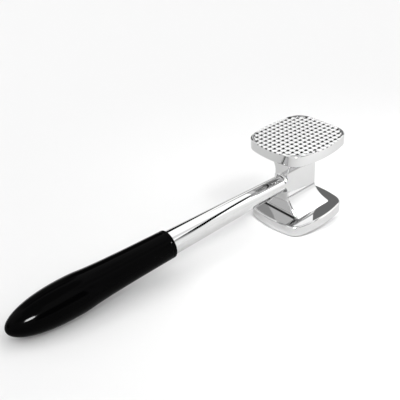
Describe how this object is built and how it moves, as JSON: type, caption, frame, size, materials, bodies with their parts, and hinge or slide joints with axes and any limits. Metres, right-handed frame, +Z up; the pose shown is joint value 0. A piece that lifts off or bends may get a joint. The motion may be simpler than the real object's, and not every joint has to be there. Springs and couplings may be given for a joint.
{
  "type": "meat mallet",
  "caption": "Hand mallet for meat: a chromed head with a toothed face above and a smooth face below, a tapered shank and a gloss black grip with a swelled belly.",
  "frame": {"origin": "under the middle of the resting mallet, on the surface that it rests on", "axes": "+X from the grip to the head, +Y across the handle, +Z up from the table"},
  "size_m": [0.2644, 0.055, 0.0736],
  "materials": {
    "chromed_casting": "mirror-bright chrome plate on a smooth casting",
    "gloss_grip": "polished black moulding",
    "hard_core": "plain black moulding",
    "steel_tang": "plain zinc-plated steel"
  },
  "bodies": {
    "root": {"head_casting": "chromed_casting", "grip_shell": "gloss_grip", "grip_core": "hard_core", "core_plug": "hard_core", "tang_rod": "steel_tang", "tang_washer": "steel_tang", "tang_nut": "steel_tang"}
  },
  "joints": []
}
